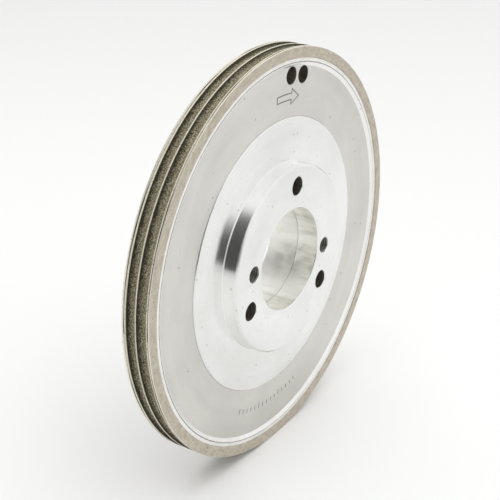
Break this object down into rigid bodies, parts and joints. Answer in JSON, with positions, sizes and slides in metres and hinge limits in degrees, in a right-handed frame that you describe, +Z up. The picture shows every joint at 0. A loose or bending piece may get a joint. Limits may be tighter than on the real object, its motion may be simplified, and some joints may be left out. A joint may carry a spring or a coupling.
{
  "type": "diamond grinding wheel",
  "caption": "Metal-bond diamond grinding wheel for stone and glass edges: aluminium disc, stepped hub with bore and bolt holes, and a sintered rim with rounded edging grooves.",
  "frame": {"origin": "on the bore axis, at the middle of the rim's width", "axes": "Y is the wheel's axis, with the hub and the outer face towards -Y and the rear face, which seats on the spindle flange, towards +Y; +Z is up with the wheel standing on its rim; the first bolt hole is 8.5 degrees from +Z towards +X"},
  "size_m": [0.2, 0.028, 0.2],
  "materials": {
    "turned_aluminium": "fine turned, semi-bright",
    "satin_aluminium": "satin, fine concentric turning marks",
    "carrier_steel": "ground steel",
    "adhesive": "cured epoxy film",
    "bronze_bond": "sintered bronze bond, matt, no diamond",
    "diamond_bond": "sintered bronze bond, gritty with exposed diamond",
    "screw_steel": "blackened, oiled",
    "dowel_steel": "hardened and ground"
  },
  "bodies": {
    "root": {"hub_flange": "turned_aluminium", "wheel_disc": "satin_aluminium", "adhesive_film": "adhesive", "carrier_ring": "carrier_steel", "front_side_ring": "bronze_bond", "rear_side_ring": "bronze_bond", "front_diamond_ring": "diamond_bond", "rear_diamond_ring": "diamond_bond", "hub_screw_1": "screw_steel", "hub_screw_2": "screw_steel", "hub_screw_3": "screw_steel", "hub_screw_4": "screw_steel", "hub_screw_5": "screw_steel", "hub_screw_6": "screw_steel", "dowel_1": "dowel_steel", "dowel_2": "dowel_steel"}
  },
  "joints": []
}
